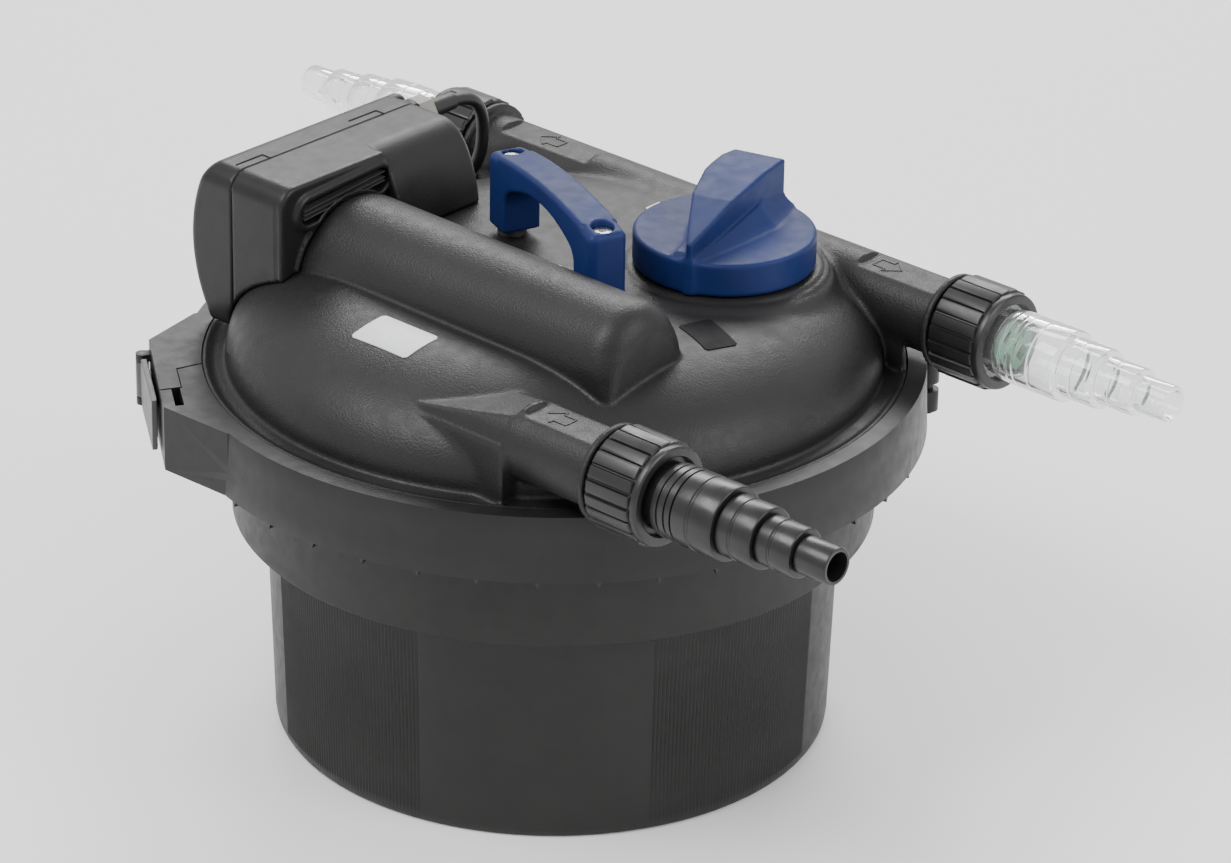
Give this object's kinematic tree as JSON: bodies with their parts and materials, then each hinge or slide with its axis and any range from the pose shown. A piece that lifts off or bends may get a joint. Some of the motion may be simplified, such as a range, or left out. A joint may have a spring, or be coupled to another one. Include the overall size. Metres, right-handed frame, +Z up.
{
  "type": "pressurised pond filter",
  "caption": "Round pressurised pond filter with a moulded lid, UV lamp head, turning mode knob, foam-cleaning lift handle, clamp ring and stepped hose tails.",
  "frame": {"origin": "centre of the tank's flat underside, on the floor it stands on", "axes": "+Z up along the tank's axis; +X points out of the outlet and inlet hose tails; +Y is the side of the outlet pipe and the mains lead, so the inlet pipe is at -Y"},
  "size_m": [0.6, 0.4864, 0.298],
  "materials": {
    "vessel_black": "satin, ribbed panels",
    "lid_black": "fine grained",
    "ring_black": "satin",
    "steel": "brushed",
    "latch_grey": "satin",
    "navy_plastic": "semi gloss",
    "clear_plastic": "clear",
    "tail_black": "semi gloss",
    "green_plastic": "satin",
    "seal_rubber": "matt",
    "inner_plastic": "satin",
    "foam": "open cell",
    "clear_glass": "clear",
    "grey_plastic": "satin",
    "cable_black": "matt",
    "plate_film": "satin",
    "plate_dark": "satin"
  },
  "bodies": {
    "vessel": {"tank": "vessel_black", "lid_seal": "seal_rubber", "lid": "lid_black", "guide_bushes": "inner_plastic", "foam_top_plate": "inner_plastic", "foam_1": "foam", "foam_2": "foam", "foam_3": "foam", "foam_4": "foam", "core_tube": "inner_plastic", "lamp_housing": "lid_black", "lamp_cap": "lid_black", "quartz_sleeve": "clear_glass", "sleeve_flange": "seal_rubber", "uv_lamp": "clear_glass", "lamp_socket": "inner_plastic", "ballast": "inner_plastic", "cable_gland": "grey_plastic", "gland_nut": "grey_plastic", "cable_boot": "cable_black", "blanking_plug": "lid_black", "power_cable": "cable_black", "power_cable_coil": "cable_black", "power_cable_end": "cable_black", "power_plug": "cable_black", "spindle_seal": "seal_rubber", "lid_screw": "steel", "outlet_washer": "seal_rubber", "dirt_outlet_washer": "seal_rubber", "inlet_washer": "seal_rubber", "type_plate": "plate_film", "mode_plate_front": "plate_dark", "mode_plate_rear": "plate_film"},
    "handle": {"lift_handle": "navy_plastic", "handle_screws": "steel", "lift_rods": "steel", "press_plate": "inner_plastic", "rod_bolts": "steel"},
    "knob": {"mode_knob": "navy_plastic", "valve_spindle": "inner_plastic", "valve_rotor": "inner_plastic"},
    "ring_front": {"clamp_ring_front": "ring_black", "clamp_hinge_pin": "steel"},
    "ring_rear": {"clamp_ring_rear": "ring_black", "latch_pin": "steel"},
    "latch": {"latch_lever": "latch_grey"},
    "outlet_hose_tail": {"outlet_tail": "clear_plastic", "outlet_insert": "green_plastic"},
    "outlet_union": {"outlet_nut": "ring_black"},
    "dirt_hose_tail": {"dirt_outlet_tail": "clear_plastic"},
    "dirt_union": {"dirt_outlet_nut": "ring_black"},
    "inlet_hose_tail": {"inlet_tail": "tail_black"},
    "inlet_union": {"inlet_nut": "ring_black"}
  },
  "joints": [
    {"name": "handle_lift", "type": "slide", "parent": "vessel", "child": "handle", "axis": [0, 0, 1], "range_m": [0, 0.055], "deforming": ["foam_1", "foam_2", "foam_3", "foam_4"]},
    {"name": "knob_turn", "type": "hinge", "parent": "vessel", "child": "knob", "pos_m": [0.0585, 0.0625, 0.26], "axis": [0, 0, 1], "range_deg": [0, 180]},
    {"name": "ring_front_open", "type": "hinge", "parent": "vessel", "child": "ring_front", "pos_m": [0.11886, 0.15773, 0.18], "axis": [0, 0, 1], "range_deg": [0, 35]},
    {"name": "ring_rear_open", "type": "hinge", "parent": "vessel", "child": "ring_rear", "pos_m": [0.11886, 0.15773, 0.18], "axis": [0, 0, -1], "range_deg": [0, 8]},
    {"name": "latch_open", "type": "hinge", "parent": "ring_rear", "child": "latch", "pos_m": [-0.15676, -0.14156, 0.184], "axis": [0, 0, -1], "range_deg": [0, 100]},
    {"name": "outlet_tail_slide", "type": "slide", "parent": "vessel", "child": "outlet_hose_tail", "axis": [1, 0, 0], "range_m": [0, 0.0045]},
    {"name": "outlet_nut_turn", "type": "hinge", "parent": "outlet_hose_tail", "child": "outlet_union", "pos_m": [0.1965, 0.123, 0.2305], "axis": [1, 0, 0], "range_deg": [0, 540]},
    {"name": "dirt_tail_slide", "type": "slide", "parent": "vessel", "child": "dirt_hose_tail", "axis": [-1, 0, 0], "range_m": [0, 0.0045]},
    {"name": "dirt_nut_turn", "type": "hinge", "parent": "dirt_hose_tail", "child": "dirt_union", "pos_m": [-0.1965, 0.123, 0.2305], "axis": [-1, 0, 0], "range_deg": [0, 540]},
    {"name": "inlet_tail_slide", "type": "slide", "parent": "vessel", "child": "inlet_hose_tail", "axis": [1, 0, 0], "range_m": [0, 0.0045]},
    {"name": "inlet_nut_turn", "type": "hinge", "parent": "inlet_hose_tail", "child": "inlet_union", "pos_m": [0.19, -0.1245, 0.2305], "axis": [1, 0, 0], "range_deg": [0, 540]}
  ],
  "couplings": [
    {"joint": "outlet_tail_slide", "follows": "outlet_nut_turn", "m_per_rad": 0.000477},
    {"joint": "dirt_tail_slide", "follows": "dirt_nut_turn", "m_per_rad": 0.000477},
    {"joint": "inlet_tail_slide", "follows": "inlet_nut_turn", "m_per_rad": 0.000477}
  ]
}
